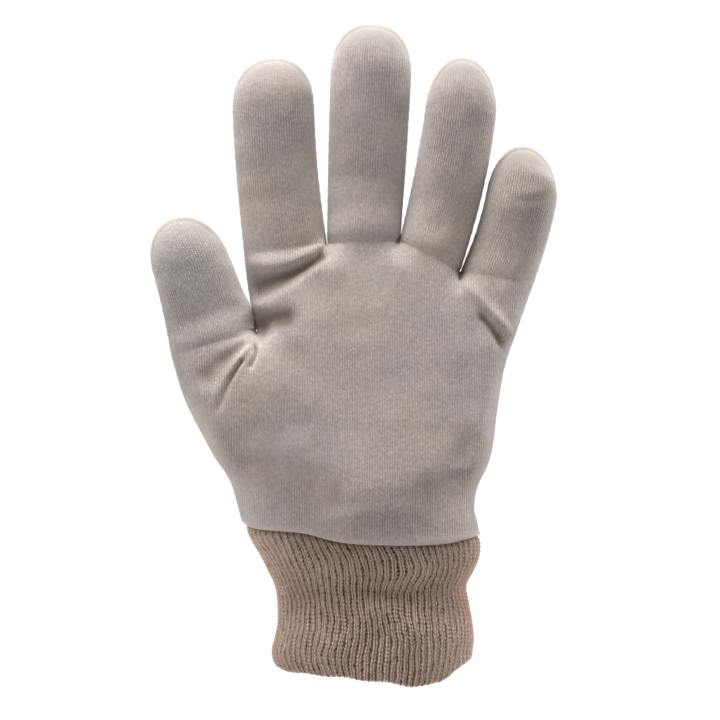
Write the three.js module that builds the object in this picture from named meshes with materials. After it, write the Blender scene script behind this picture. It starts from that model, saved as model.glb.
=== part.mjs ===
import * as THREE from 'three';
import { mergeVertices } from 'three/addons/utils/BufferGeometryUtils.js';

// Cotton work glove for the left hand, in the form that it has when worn.
// The palm faces -Y, the fingers point to +Z and the thumb to -X.
// The origin is the middle of the wrist opening, level with the lowest point of its rim.

// Driving sizes in millimetres
const palmWidth = 96;         // across the palm below the fingers
const palmLength = 110;       // hem of the body to the foot of the middle finger
const palmDepth = 32;         // front to back at the thickest part of the palm
const cuffWidth = 75;         // wrist tube, side to side
const cuffDepth = 44;         // wrist tube, front to back
const cuffLength = 55.3;      // rim of the wrist opening to the hem of the body
const cuffTuck = 9;           // length of the wrist tube hidden under the hem
const rimRise = 8.3;          // how far the rim of the opening climbs round the wrist
const hemRise = 6;            // how far the hem of the body climbs round the wrist
const bodyWall = 1.2;         // knitted cotton of the hand
const cuffWall = 2.4;         // rib knit, over its ribs
const ribPitch = 2.44;        // from one rib to the next
const ribDepth = 0.8;         // groove between two ribs
const seamGap = 0.3;          // between the palm and the back panel
const tuckGap = 0.5;          // between the wrist tube and the hem round it
const webLength = 11;         // soft slope from the palm up to the fork between two fingers
const thumbForward = 10;      // how far the thumb stands in front of the palm
const foldHeight = 2;         // height or depth of a full fold in the cloth
const foldWidth = 4;          // half width of a full fold
const wristBlend = [0.13, 0.42]; // rise over which the oval of the wrist turns into the hand
const thumbBlend = [0.15, 1];    // rise over which the palm comes forward to the thumb
const footBlend = [0, 0.4];      // share of a finger over which its foot turns into its own section
const fingerTaper = [1.04, 0.88]; // depth at the foot and at the tip, as shares of the thickness

const thumbLength = 49.3;     // foot to tip of each finger
const indexLength = 72.4;
const middleLength = 82.5;
const ringLength = 76.2;
const littleLength = 51;
const thumbWidth = 33.6;
const indexWidth = 31;
const middleWidth = 29;
const ringWidth = 27.4;
const littleWidth = 27.2;

// Finer choices of the mesh
const columnsPerStrip = 6;
const lowerPalmRows = 11;
const upperPalmRows = 7;
const fingerRows = 12;
const thumbRows = 10;
const cuffOuterRows = 8;
const cuffInnerRows = 3;
const roundSteps = 1000;       // fine steps that measure the way round the wrist
const sectionPower = 2.4;     // 2 is an ellipse, more is squarer
const crownPower = 1.8;       // the same for the way from a finger's side over its tip
const palmCrowding = 1.7;     // 1 is even rows, more crowds them towards the fork of the thumb
const fingerCrowding = 1.5;
const curlPower = 1.6;        // 1 leans a finger straight forward, more bends it close to its foot
const foldFade = 1.5;         // folds fade out towards the seam where the depth is under 1 / this share

// Smooth curve through the rows of a table: each column is read at any place along the first one
function table(columns, rows) {
  return (at) => {
    const last = rows.length - 1;
    let seg = 0;
    while (seg < last - 1 && at > rows[seg + 1][0]) seg += 1;
    const before = rows[Math.max(seg - 1, 0)];
    const from = rows[seg];
    const to = rows[seg + 1];
    const after = rows[Math.min(seg + 2, last)];
    const span = to[0] - from[0];
    const t = THREE.MathUtils.clamp((at - from[0]) / span, 0, 1);
    const read = {};
    columns.forEach((name, i) => {
      const slopeIn = (to[i] - before[i]) / (to[0] - before[0]) * span;
      const slopeOut = (after[i] - from[i]) / (after[0] - from[0]) * span;
      const rise = t * t * (3 - 2 * t);
      const easeIn = t * (1 - t) * (1 - t);
      const easeOut = t * t * (t - 1);
      read[name] = from[i] * (1 - rise) + to[i] * rise + slopeIn * easeIn + slopeOut * easeOut;
    });
    return read;
  };
}

const lerp = THREE.MathUtils.lerp;
const smoothstep = THREE.MathUtils.smoothstep;
const bump = (distance) => Math.exp(-distance * distance);

// The wrist tube. Height is a share of cuffLength, left and right of cuffWidth, front and back of cuffDepth.
const cuffSections = table(['height', 'left', 'right', 'front', 'back'], [
  [0.00, -0.470, 0.480, 0.480, 0.480],
  [0.10, -0.482, 0.492, 0.495, 0.490],
  [0.16, -0.503, 0.506, 0.500, 0.495],
  [0.22, -0.509, 0.511, 0.500, 0.495],
  [0.29, -0.496, 0.515, 0.500, 0.490],
  [0.41, -0.480, 0.507, 0.495, 0.485],
  [0.54, -0.482, 0.489, 0.480, 0.480],
  [0.66, -0.494, 0.481, 0.470, 0.475],
  [0.76, -0.524, 0.520, 0.490, 0.485],
  [0.85, -0.560, 0.545, 0.515, 0.500],
  [0.96, -0.612, 0.542, 0.530, 0.510],
  [1.03, -0.636, 0.520, 0.535, 0.515],
  [1.10, -0.638, 0.510, 0.545, 0.515],
  [1.18, -0.652, 0.496, 0.558, 0.515],
  [1.40, -0.690, 0.500, 0.575, 0.500],
]);

// Heights round the wrist, from the thumb side (0) over the front (0.5), the little side (1) and
// the back (1.5) to the thumb side (2): the rim as a share of rimRise, the hem as a share of hemRise
const wristEdges = table(['turn', 'rim', 'hem'], [
  [0.00, 0.64, 0.90],
  [0.17, 0.55, 0.52],
  [0.34, 0.48, 0.36],
  [0.44, 0.38, -0.18],
  [0.54, 0.22, -0.34],
  [0.66, 0.00, -0.37],
  [0.76, 0.18, -0.26],
  [0.84, 0.66, -0.06],
  [1.00, 1.00, 0.12],
  [1.25, 0.98, 0.10],
  [1.50, 0.86, 0.20],
  [1.75, 0.72, 0.50],
  [2.00, 0.64, 0.90],
]);

const rimHeight = (turn) => rimRise * wristEdges(turn).rim;
const hemHeight = (turn) => cuffLength + hemRise * wristEdges(turn).hem;

// A point of the wrist tube's outline, moved outwards by a distance
function wristPoint(turn, height, outward) {
  const section = cuffSections(height / cuffLength);
  const middle = cuffWidth * (section.left + section.right) / 2;
  const halfWidth = cuffWidth * (section.right - section.left) / 2 + outward;
  const angle = Math.PI * turn;
  const front = Math.sin(angle) > 0;
  const halfDepth = cuffDepth * (front ? section.front : section.back) + outward;
  const x = middle - halfWidth * Math.cos(angle);
  return new THREE.Vector3(x, -halfDepth * Math.sin(angle), height);
}

// Six lines run up the hand and bound its five strips. Rise is 0 at the hem, 1 at the fork of the
// thumb and 2 at the forks of the fingers. X is a share of palmWidth, height of palmLength.
const lineColumns = ['rise', 'x', 'height'];
const palmLines = [
  [[0.25, -0.562, 0.177], [0.50, -0.651, 0.318], [0.75, -0.738, 0.473], [1.00, -0.790, 0.623]],
  [[0.25, -0.352, 0.173], [0.50, -0.388, 0.350], [0.75, -0.420, 0.527], [1.00, -0.455, 0.700],
    [1.50, -0.488, 0.836], [2.00, -0.506, 0.964]],
  [[0.25, -0.132, 0.155], [0.50, -0.140, 0.333], [0.75, -0.150, 0.512], [1.00, -0.161, 0.691],
    [1.50, -0.170, 0.850], [2.00, -0.177, 1.003]],
  [[0.25, 0.073, 0.147], [0.50, 0.083, 0.323], [0.75, 0.092, 0.497], [1.00, 0.099, 0.673],
    [1.50, 0.105, 0.845], [2.00, 0.110, 1.014]],
  [[0.25, 0.260, 0.141], [0.50, 0.286, 0.300], [0.75, 0.307, 0.459], [1.00, 0.323, 0.618],
    [1.50, 0.336, 0.764], [2.00, 0.348, 0.909]],
  [[0.25, 0.420, 0.145], [0.50, 0.471, 0.282], [0.75, 0.494, 0.423], [1.00, 0.520, 0.564],
    [1.50, 0.574, 0.709], [2.00, 0.638, 0.865]],
].map((rows, line) => {
  const turn = line / 5;
  const foot = wristPoint(turn, hemHeight(turn), tuckGap + bodyWall);
  const footRow = [0, foot.x / palmWidth, (foot.z - cuffLength) / palmLength];
  return table(lineColumns, [footRow, ...rows]);
});

// Half depths of the palm at the middle of each strip, as shares of palmDepth
const stripColumns = ['rise', 'thumb', 'index', 'middle', 'ring', 'little'];
const frontDepths = table(stripColumns, [
  [0.00, 0.66, 0.80, 0.82, 0.80, 0.66],
  [0.30, 0.68, 0.81, 0.82, 0.79, 0.64],
  [0.60, 0.66, 0.74, 0.71, 0.69, 0.60],
  [1.00, 0.50, 0.62, 0.59, 0.57, 0.52],
  [1.50, 0.44, 0.52, 0.51, 0.50, 0.45],
  [2.00, 0.40, 0.43, 0.43, 0.41, 0.38],
]);
const backDepths = table(stripColumns, [
  [0.00, 0.60, 0.76, 0.80, 0.76, 0.60],
  [0.30, 0.48, 0.63, 0.66, 0.62, 0.52],
  [0.60, 0.40, 0.53, 0.55, 0.53, 0.47],
  [1.00, 0.38, 0.49, 0.51, 0.49, 0.45],
  [1.50, 0.38, 0.46, 0.48, 0.46, 0.42],
  [2.00, 0.38, 0.38, 0.38, 0.36, 0.34],
]);

// The fingers. Thickness, tip and shoulder are shares of the width, bow and curl of the length.
// Lean is in degrees from upright towards +X. Roundness is 2 on a tip shaped as an ellipse, and
// more on a squarer one.
const digits = [
  { name: 'thumb', length: thumbLength, width: thumbWidth, lean: -17.4, thickness: 0.73, tip: 0.58,
    shoulder: 0.87, bow: 0.022, curl: 0.14, rows: thumbRows, rise: 1, roundness: 2.1 },
  { name: 'index', length: indexLength, width: indexWidth, lean: -3.9, thickness: 0.74, tip: 0.60,
    shoulder: 1.00, bow: -0.016, curl: 0.10, rows: fingerRows, rise: 2, roundness: 2.25 },
  { name: 'middle', length: middleLength, width: middleWidth, lean: 2.5, thickness: 0.76, tip: 0.72,
    shoulder: 1.06, bow: 0, curl: 0.09, rows: fingerRows, rise: 2, roundness: 2.4 },
  { name: 'ring', length: ringLength, width: ringWidth, lean: 10.3, thickness: 0.80, tip: 0.78,
    shoulder: 0.99, bow: 0.026, curl: 0.10, rows: fingerRows, rise: 2, roundness: 2 },
  { name: 'little', length: littleLength, width: littleWidth, lean: 12.9, thickness: 0.78, tip: 0.74,
    shoulder: 0.99, bow: 0.044, curl: 0.11, rows: fingerRows, rise: 2, roundness: 2 },
];

// Folds and dents of the palm side, each along a curve from start over middle to end. X is a share
// of palmWidth, height of palmLength, width of foldWidth, raise of foldHeight (below 0 sinks).
const foldColumns = ['startX', 'startZ', 'middleX', 'middleZ', 'endX', 'endZ', 'width', 'raise'];
const palmFolds = [
  // Rolled ridges and valleys at the foot of the index finger
  [-0.464, 0.970, -0.372, 0.955, -0.194, 1.010, 0.85, 0.90],
  [-0.435, 0.866, -0.336, 0.918, -0.194, 0.986, 0.85, -1.00],
  [-0.471, 0.783, -0.281, 0.887, -0.146, 0.963, 1.00, 0.85],
  [-0.451, 0.755, -0.385, 0.742, -0.321, 0.720, 1.20, -1.10],
  // Ridges, hollow and crease at the foot of the thumb
  [-0.451, 0.703, -0.523, 0.658, -0.578, 0.637, 0.75, 1.00],
  [-0.499, 0.661, -0.554, 0.623, -0.638, 0.562, 0.75, -1.00],
  [-0.479, 0.651, -0.539, 0.588, -0.609, 0.502, 0.60, 0.80],
  [-0.506, 0.603, -0.539, 0.544, -0.582, 0.485, 0.60, -0.90],
  // Puffed cloth beside the thumb
  [-0.365, 0.600, -0.325, 0.622, -0.285, 0.645, 2.00, 0.80],
  // Ridge and valley below the little finger, and the pinch at its fork
  [0.400, 0.827, 0.470, 0.760, 0.539, 0.695, 1.00, 0.80],
  [0.431, 0.747, 0.470, 0.705, 0.506, 0.665, 1.00, -0.80],
  [0.348, 0.913, 0.345, 0.885, 0.341, 0.855, 0.70, -0.80],
  // Hollow under the tip of the little finger
  [0.574, 1.162, 0.635, 1.165, 0.697, 1.179, 0.80, -0.60],
];

// Soft creases of the back of the hand
const backFolds = [
  [-0.400, 0.930, -0.100, 0.985, 0.300, 0.880, 1.60, -0.50],
  [-0.500, 0.300, -0.150, 0.230, 0.300, 0.260, 1.80, -0.60],
  [-0.600, 0.560, -0.480, 0.640, -0.420, 0.760, 1.20, -0.70],
];

// Dents of the wrist tube: place round it in turns, height as a share of cuffLength
const cuffFolds = [
  { turn: 0.54, height: 0.62, wide: 0.11, tall: 0.060, raise: -0.75 },
  { turn: 0.62, height: 0.79, wide: 0.11, tall: 0.050, raise: 0.60 },
  { turn: 0.20, height: 0.55, wide: 0.12, tall: 0.090, raise: -0.50 },
  { turn: 1.45, height: 0.58, wide: 0.25, tall: 0.080, raise: -0.60 },
];

// Height of all folds over one place of the hand: each is a bell across its curve, faded at its ends
function foldsAt(folds, x, z) {
  let raised = 0;
  for (const row of folds) {
    const fold = Object.fromEntries(foldColumns.map((name, i) => [name, row[i]]));
    const steps = 8;
    let nearest = Infinity;
    let nearestShare = 0;
    for (let i = 0; i <= steps; i += 1) {
      const t = i / steps;
      const a = (1 - t) * (1 - t);
      const b = 2 * t * (1 - t);
      const c = t * t;
      const foldX = palmWidth * (a * fold.startX + b * fold.middleX + c * fold.endX);
      const foldZ = cuffLength + palmLength * (a * fold.startZ + b * fold.middleZ + c * fold.endZ);
      const distance = Math.hypot(x - foldX, z - foldZ);
      if (distance < nearest) {
        nearest = distance;
        nearestShare = t;
      }
    }
    const fade = 0.5 + 0.5 * Math.sin(Math.PI * nearestShare);
    raised += foldHeight * fold.raise * fade * bump(nearest / (foldWidth * fold.width));
  }
  return raised;
}

// A point of one palm line
function linePoint(line, rise) {
  const place = palmLines[line](rise);
  return { x: palmWidth * place.x, z: cuffLength + palmLength * place.height };
}

function lineLength(line, from, to) {
  const a = linePoint(line, from);
  const b = linePoint(line, to);
  return Math.hypot(a.x - b.x, a.z - b.z);
}

// How far a line has closed towards its fork: 0 on the open palm, 1 at the fork, and 1 all along
// the two outer edges of the hand
function closing(line, rise) {
  const outerEdge = line === 0 || line === 5 || (line === 1 && rise >= 1);
  if (outerEdge) return 1;
  const fork = line === 1 ? 1 : 2;
  const below = lineLength(line, rise, fork);
  const open = Math.max(0, 1 - below / webLength);
  return open * open;
}

// Share of the full depth across a strip: 1 in the middle, falling to the edges as far as each
// line has closed, and to the crown of a finger's tip
function swell(across, closedLeft, closedRight, towardsCrown) {
  const left = closedLeft * Math.max(0, -across) ** sectionPower;
  const right = closedRight * Math.max(0, across) ** sectionPower;
  const round = Math.max(0, 1 - left - right);
  return Math.sqrt(round * (1 - towardsCrown ** crownPower));
}

// The middle surface of the hand stands forward on the thumb's side
function forwardAt(strip, across, rise) {
  const reach = smoothstep(rise, ...thumbBlend);
  const towardsThumb = (1 - across) / 2;
  if (strip === 0) return -thumbForward * reach * lerp(0.3, 0.6, towardsThumb);
  const fade = 1 - smoothstep(rise, 1, 2);
  if (strip === 1) return -thumbForward * reach * 0.3 * towardsThumb * fade;
  return 0;
}

// Half depth over a strip: its own in the middle, the mean of two neighbours on their line
function stripDepth(side, strip, across, rise) {
  const read = (side < 0 ? frontDepths : backDepths)(rise);
  const shares = [read.thumb, read.index, read.middle, read.ring, read.little];
  const neighbour = shares[THREE.MathUtils.clamp(strip + Math.sign(across), 0, 4)];
  return palmDepth * lerp(shares[strip], neighbour, 0.5 * across * across);
}

// A point of the palm region on one side of the hand: side is -1 for the palm, 1 for the back
function palmPoint(side, strip, across, rise) {
  const from = linePoint(strip, rise);
  const to = linePoint(strip + 1, rise);
  const share = (across + 1) / 2;
  const x = lerp(from.x, to.x, share);
  const z = lerp(from.z, to.z, share);
  const closedLeft = closing(strip, rise);
  const closedRight = closing(strip + 1, rise);
  const full = swell(across, closedLeft, closedRight, 0);
  const depth = stripDepth(side, strip, across, rise);
  const creases = side < 0 ? palmFolds : backFolds;
  const folds = foldsAt(creases, x, z) * Math.min(1, foldFade * full);
  const y = forwardAt(strip, across, rise) + side * (seamGap / 2 + depth * full + folds);
  const point = new THREE.Vector3(x, y, z);

  const turn = (strip + share) / 5;
  const wristShare = 1 - smoothstep(rise, ...wristBlend);
  if (wristShare > 0) {
    const wrapTurn = side < 0 ? turn : 2 - turn;
    const onWrist = wristPoint(wrapTurn, z, tuckGap + bodyWall);
    const clear = side * seamGap / 2;
    const wristY = side * Math.max(Math.abs(onWrist.y), Math.abs(clear));
    point.lerp(new THREE.Vector3(onWrist.x, wristY, z), wristShare);
  }
  if (rise === 0) point.z = hemHeight(side < 0 ? turn : 2 - turn);
  return point;
}

// A point of a finger. Along runs from its foot (0) to its tip (1).
function fingerPoint(side, strip, across, along) {
  const digit = digits[strip];
  const left = linePoint(strip, digit.rise);
  const right = linePoint(strip + 1, digit.rise);
  const tip = digit.width * digit.tip;
  const base = new THREE.Vector2((left.x + right.x) / 2, (left.z + right.z) / 2);
  const straight = digit.length - tip;
  const lean = THREE.MathUtils.degToRad(digit.lean);
  const up = new THREE.Vector2(Math.sin(lean), Math.cos(lean));
  const sideways = new THREE.Vector2(Math.cos(lean), -Math.sin(lean));

  const power = digit.roundness;
  const crown = (1 - Math.abs(across) ** power) ** (1 / power);
  const reach = along * (straight + tip * crown);
  const share = Math.min(1, reach / straight);
  const pastStraight = crown > 0 ? (reach - straight) / (tip * crown) : 0;
  const towardsCrown = THREE.MathUtils.clamp(pastStraight, 0, 1);

  const halfWidth = digit.width / 2 * lerp(1, digit.shoulder, share);
  const bow = digit.bow * digit.length * Math.sin(Math.PI * Math.min(1, reach / digit.length));
  const flat = base.clone().addScaledVector(up, reach);
  flat.addScaledVector(sideways, across * halfWidth + bow);
  const fromLeft = (across + 1) / 2;
  const foot = new THREE.Vector2(lerp(left.x, right.x, fromLeft), lerp(left.z, right.z, fromLeft));
  const plainFoot = base.clone().addScaledVector(sideways, across * digit.width / 2);
  const settle = (1 - share) ** 3;
  flat.addScaledVector(foot.sub(plainFoot), settle);

  const full = swell(across, 1, 1, towardsCrown);
  const footDepth = stripDepth(side, strip, across, digit.rise);
  const ownDepth = digit.width * digit.thickness / 2 * lerp(...fingerTaper, share);
  const depth = lerp(footDepth, ownDepth, smoothstep(share, ...footBlend));
  const creases = side < 0 ? palmFolds : backFolds;
  const folds = foldsAt(creases, flat.x, flat.y) * Math.min(1, foldFade * full);
  const bend = 1 - Math.max(0, 1 - reach / digit.length) ** curlPower;
  const footForward = forwardAt(strip, across, digit.rise);
  const y = footForward - digit.curl * digit.length * bend + side * (seamGap / 2 + depth * full + folds);
  return new THREE.Vector3(flat.x, y, flat.y);
}

// Rows crowd towards the far end of a stretch, where the cloth turns fastest
function crowded(rows, power) {
  return Array.from({ length: rows + 1 }, (_, i) => 1 - (1 - i / rows) ** power);
}

// Columns crowd towards the two sides of a strip
const acrossStrip = Array.from({ length: columnsPerStrip + 1 }, (_, i) => {
  return -Math.cos(Math.PI * i / columnsPerStrip);
});

// One side of the hand as an open sheet: vertices shared between neighbouring strips, and triangles
function handSheet(side) {
  const vertices = [];
  const triangles = [];
  const known = new Map();
  const hem = new Set();
  const indexOf = (point) => {
    const key = point.toArray().map((value) => Math.round(value * 200)).join(' ');
    if (!known.has(key)) {
      known.set(key, vertices.length);
      vertices.push(point);
    }
    return known.get(key);
  };
  const addGrid = (rows, pointAt) => {
    const grid = rows.map((row) => acrossStrip.map((across) => indexOf(pointAt(across, row))));
    for (let r = 0; r < rows.length - 1; r += 1) {
      for (let c = 0; c < columnsPerStrip; c += 1) {
        const corners = [grid[r][c], grid[r][c + 1], grid[r + 1][c + 1], grid[r + 1][c]];
        if (side > 0) corners.reverse();
        triangles.push([corners[0], corners[1], corners[2]], [corners[0], corners[2], corners[3]]);
      }
    }
    return grid;
  };
  digits.forEach((digit, strip) => {
    const palmAt = (across, rise) => palmPoint(side, strip, across, rise);
    const fingerAt = (across, along) => fingerPoint(side, strip, across, along);
    const palm = addGrid(crowded(lowerPalmRows, palmCrowding), palmAt);
    palm[0].forEach((i) => hem.add(i));
    if (digit.rise === 2) {
      addGrid(crowded(upperPalmRows, fingerCrowding), (across, rise) => palmAt(across, 1 + rise));
    }
    addGrid(crowded(digit.rows, fingerCrowding), fingerAt);
  });
  return { vertices, triangles, hem };
}

// Gives an open sheet its wall: an inner copy moved in along the normals, closed round the edges.
// Along the seam the cloth's edge is square to the seam line, and along the hem it is level.
function thicken({ vertices, triangles, hem }, wall) {
  const normals = vertices.map(() => new THREE.Vector3());
  const edges = new Map();
  for (const triangle of triangles) {
    const [a, b, c] = triangle.map((i) => vertices[i]);
    const normal = new THREE.Vector3().crossVectors(b.clone().sub(a), c.clone().sub(a));
    triangle.forEach((i) => normals[i].add(normal));
    triangle.forEach((i, k) => {
      const next = triangle[(k + 1) % 3];
      edges.set(`${i} ${next}`, { from: i, to: next, opposite: triangle[(k + 2) % 3] });
    });
  }
  const rim = [...edges.values()].filter(({ from, to }) => !edges.has(`${to} ${from}`));
  const seamInward = new Map();
  const seam = rim.filter(({ from, to }) => !hem.has(from) || !hem.has(to));
  seam.forEach(({ from, to, opposite }) => {
    const along = vertices[to].clone().sub(vertices[from]);
    const square = new THREE.Vector3(-along.z, 0, along.x).normalize();
    const towards = vertices[opposite].clone().sub(vertices[from]);
    if (square.dot(towards) < 0) square.negate();
    for (const i of [from, to]) {
      const sum = seamInward.get(i) ?? new THREE.Vector3();
      seamInward.set(i, sum.add(square));
    }
  });
  const inner = vertices.map((vertex, i) => {
    const inward = normals[i].clone().negate();
    if (hem.has(i)) inward.z = 0;
    if (seamInward.has(i)) inward.copy(seamInward.get(i));
    return vertex.clone().addScaledVector(inward.normalize(), wall);
  });
  const count = vertices.length;
  const faces = triangles.flat();
  triangles.forEach(([a, b, c]) => faces.push(count + a, count + c, count + b));
  rim.forEach(({ from, to }) => faces.push(to, from, count + from, to, count + from, count + to));
  return solid([...vertices, ...inner], faces);
}

function solid(vertices, faces) {
  const geometry = new THREE.BufferGeometry();
  const places = vertices.flatMap((vertex) => vertex.toArray());
  geometry.setAttribute('position', new THREE.Float32BufferAttribute(places, 3));
  geometry.setIndex(faces);
  const merged = mergeVertices(geometry, 1e-4);
  merged.computeVertexNormals();
  return merged;
}

// Length of the way round the wrist's oval up to each of its fine steps, from the thumb side on
function wayRoundWrist() {
  const way = [0];
  for (let i = 1; i <= roundSteps; i += 1) {
    const from = 2 * Math.PI * (i - 1) / roundSteps;
    const to = 2 * Math.PI * i / roundSteps;
    const aside = cuffWidth / 2 * (Math.cos(to) - Math.cos(from));
    const forward = cuffDepth / 2 * (Math.sin(to) - Math.sin(from));
    way.push(way[i - 1] + Math.hypot(aside, forward));
  }
  return way;
}

// Turns at even steps along that way, so that all ribs are equally wide
function evenTurns(way, count) {
  const turns = [];
  let at = 0;
  for (let i = 0; i < count; i += 1) {
    const wanted = way[roundSteps] * i / count;
    while (way[at + 1] < wanted) at += 1;
    const share = (wanted - way[at]) / (way[at + 1] - way[at]);
    turns.push(2 * (at + share) / roundSteps);
  }
  return turns;
}

// The wrist tube: ribs run up its outside, the inside is smooth
function cuffGeometry() {
  const way = wayRoundWrist();
  const ribs = Math.round(way[way.length - 1] / ribPitch);
  const turns = evenTurns(way, 2 * ribs);
  const columns = turns.length;
  const vertices = [];
  const faces = [];
  const foldAt = (turn, share) => cuffFolds.reduce((sum, fold) => {
    const aside = (turn - fold.turn) / fold.wide;
    const above = (share - fold.height) / fold.tall;
    return sum + foldHeight * fold.raise * bump(aside) * bump(above);
  }, 0);
  const addRing = (row, rows, depthAt) => {
    const first = vertices.length;
    for (let i = 0; i < columns; i += 1) {
      const turn = turns[i];
      const height = lerp(rimHeight(turn), hemHeight(turn) + cuffTuck, row / rows);
      const tucked = smoothstep(height, hemHeight(turn) - cuffTuck / 4, hemHeight(turn) + cuffTuck / 3);
      const fold = foldAt(turn, height / cuffLength);
      vertices.push(wristPoint(turn, height, fold - depthAt(i) - tuckGap * tucked));
    }
    return first;
  };
  const joinRings = (from, to) => {
    for (let i = 0; i < columns; i += 1) {
      const next = (i + 1) % columns;
      faces.push(from + i, from + next, to + next, from + i, to + next, to + i);
    }
  };
  const rings = [];
  for (let row = 0; row <= cuffOuterRows; row += 1) {
    rings.push(addRing(row, cuffOuterRows, (i) => (i % 2) * ribDepth));
  }
  for (let row = cuffInnerRows; row >= 0; row -= 1) {
    rings.push(addRing(row, cuffInnerRows, () => cuffWall));
  }
  rings.forEach((ring, i) => joinRings(ring, rings[(i + 1) % rings.length]));
  return solid(vertices, faces);
}

function cloth(name, geometry, color, roughness) {
  const material = new THREE.MeshStandardMaterial({ color, roughness, metalness: 0 });
  const mesh = new THREE.Mesh(geometry, material);
  mesh.name = name;
  return mesh;
}

const group = new THREE.Group();
group.add(cloth('palm_panel', thicken(handSheet(-1), bodyWall), 0xc9c2bb, 0.92));
group.add(cloth('back_panel', thicken(handSheet(1), bodyWall), 0xc9c2bb, 0.92));
group.add(cloth('knit_cuff', cuffGeometry(), 0xb9ab9d, 0.95));

export default group;
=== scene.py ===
import bpy
import numpy as np
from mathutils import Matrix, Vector


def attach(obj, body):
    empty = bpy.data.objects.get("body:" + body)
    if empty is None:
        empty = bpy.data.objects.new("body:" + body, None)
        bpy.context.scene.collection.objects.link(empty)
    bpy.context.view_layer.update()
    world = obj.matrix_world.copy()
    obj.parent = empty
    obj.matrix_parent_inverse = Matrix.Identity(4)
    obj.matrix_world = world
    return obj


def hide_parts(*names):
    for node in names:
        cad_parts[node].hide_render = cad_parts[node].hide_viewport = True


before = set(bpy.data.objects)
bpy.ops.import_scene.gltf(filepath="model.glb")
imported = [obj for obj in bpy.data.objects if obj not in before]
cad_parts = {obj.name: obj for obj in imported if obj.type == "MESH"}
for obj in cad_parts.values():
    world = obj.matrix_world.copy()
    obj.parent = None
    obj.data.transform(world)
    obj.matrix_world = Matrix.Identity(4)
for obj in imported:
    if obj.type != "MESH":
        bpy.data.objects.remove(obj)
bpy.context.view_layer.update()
mm = 0.001


# shared curves

def smoothTable(rows):
    # a smooth curve through the rows: between two rows each column follows the cubic whose
    # slope at either end is that of the chord over both neighbours
    rows = np.array(rows, dtype=float)
    keys = rows[:, 0]
    last = len(keys) - 1

    def read(at, column):
        at = np.asarray(at, dtype=float)
        seg = np.searchsorted(keys[1:last], at, side="left")
        before, after = np.maximum(seg - 1, 0), np.minimum(seg + 2, last)
        values = rows[:, column]
        span = keys[seg + 1] - keys[seg]
        t = np.clip((at - keys[seg]) / span, 0, 1)
        slopeIn = (values[seg + 1] - values[before]) / (keys[seg + 1] - keys[before]) * span
        slopeOut = (values[after] - values[seg]) / (keys[after] - keys[seg]) * span
        rise = t * t * (3 - 2 * t)
        return (values[seg] * (1 - rise) + values[seg + 1] * rise
                + slopeIn * t * (1 - t) ** 2 + slopeOut * t * t * (t - 1))
    return read


def lerp(a, b, t):
    return a + (b - a) * t


def ease(value, start, end):
    # 0 before start, 1 after end, an S between them
    t = np.clip((value - start) / (end - start), 0, 1)
    return t * t * (3 - 2 * t)


bellReach = 3.2     # widths from its middle beyond which a bell counts as 0
curveSteps = 33     # places along the curve of a fold
fineSteps = 1500    # places at which the length of a finger is measured
turnSteps = 4001    # places at which the length round the wrist is measured


def bell(distance):
    return np.exp(-distance * distance)


def dip(share):
    # how far a quarter circle has fallen off at this share of its radius
    return 1 - np.sqrt(1 - np.minimum(share, 0.999) ** 2)


def wave(turns):
    return np.sin(2 * np.pi * turns)


def rolling(x, z, waves):
    # soft unevenness: a sum of plain waves of several lengths and directions, seeded
    rng = np.random.default_rng(waves["seed"])
    total = np.zeros(np.broadcast(x, z).shape)
    for _ in range(waves["count"]):
        length = rng.uniform(*waves["length"])
        angle = rng.uniform(0, np.pi)
        phase = rng.uniform(0, 2 * np.pi)
        along = x * np.cos(angle) + z * np.sin(angle)
        total = total + np.sin(2 * np.pi * along / length + phase)
    return waves["height"] * total / np.sqrt(waves["count"])


# wrist outline

wrist = {
    "width": 75.0, "depth": 44.0, "length": 55.3, "tuck": 9.0,
    "rimRise": 8.3, "hemRise": 6.0, "wall": 2.4, "tuckGap": 0.5,
}
# height, left, right, front, back
wristSections = smoothTable([
    [0.00, -0.470, 0.480, 0.480, 0.480],
    [0.10, -0.482, 0.492, 0.495, 0.490],
    [0.16, -0.503, 0.506, 0.500, 0.495],
    [0.22, -0.509, 0.511, 0.500, 0.495],
    [0.29, -0.496, 0.515, 0.500, 0.490],
    [0.41, -0.480, 0.507, 0.495, 0.485],
    [0.54, -0.482, 0.489, 0.480, 0.480],
    [0.66, -0.494, 0.481, 0.470, 0.475],
    [0.76, -0.524, 0.520, 0.490, 0.485],
    [0.85, -0.560, 0.545, 0.515, 0.500],
    [0.96, -0.612, 0.542, 0.530, 0.510],
    [1.03, -0.636, 0.520, 0.535, 0.515],
    [1.10, -0.638, 0.510, 0.545, 0.515],
    [1.18, -0.652, 0.496, 0.558, 0.515],
    [1.40, -0.690, 0.500, 0.575, 0.500],
])
# turn, rim, hem: the turn runs from the thumb side over the front, the little side and the back
wristEdges = smoothTable([
    [0.00, 0.64, 0.90], [0.17, 0.55, 0.52], [0.34, 0.48, 0.36], [0.44, 0.38, -0.18],
    [0.54, 0.22, -0.34], [0.66, 0.00, -0.37], [0.76, 0.18, -0.26], [0.84, 0.66, -0.06],
    [1.00, 1.00, 0.12], [1.25, 0.98, 0.10], [1.50, 0.86, 0.20], [1.75, 0.72, 0.50],
    [2.00, 0.64, 0.90],
])


def rimHeight(turn):
    return wrist["rimRise"] * wristEdges(turn, 1)


def hemHeight(turn):
    return wrist["length"] + wrist["hemRise"] * wristEdges(turn, 2)


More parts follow.
